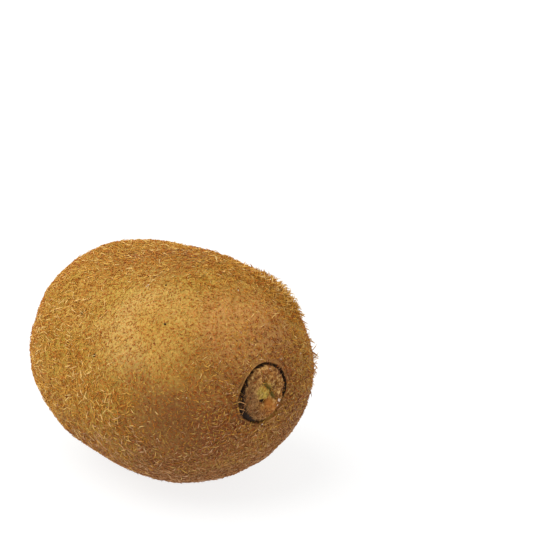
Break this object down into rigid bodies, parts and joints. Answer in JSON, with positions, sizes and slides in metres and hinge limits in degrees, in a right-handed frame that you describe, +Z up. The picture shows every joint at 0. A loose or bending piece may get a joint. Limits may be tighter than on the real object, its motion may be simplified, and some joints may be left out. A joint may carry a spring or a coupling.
{
  "type": "kiwi fruit",
  "caption": "Whole kiwi fruit lying on its side: an oval fuzzy brown fruit with a corky stem scar and the flower's dry styles.",
  "frame": {"origin": "middle of the fruit's box, on the surface that it lies on", "axes": "+X along the fruit from the blossom end to the stem end, +Y across it, +Z up"},
  "size_m": [0.0704, 0.0526, 0.0494],
  "materials": {
    "skin": "dull leathery brown skin under short golden-brown hair",
    "dry_styles": "dry, dull, dark brown to black"
  },
  "bodies": {
    "root": {"fruit": "skin", "dried_styles": "dry_styles"}
  },
  "joints": []
}
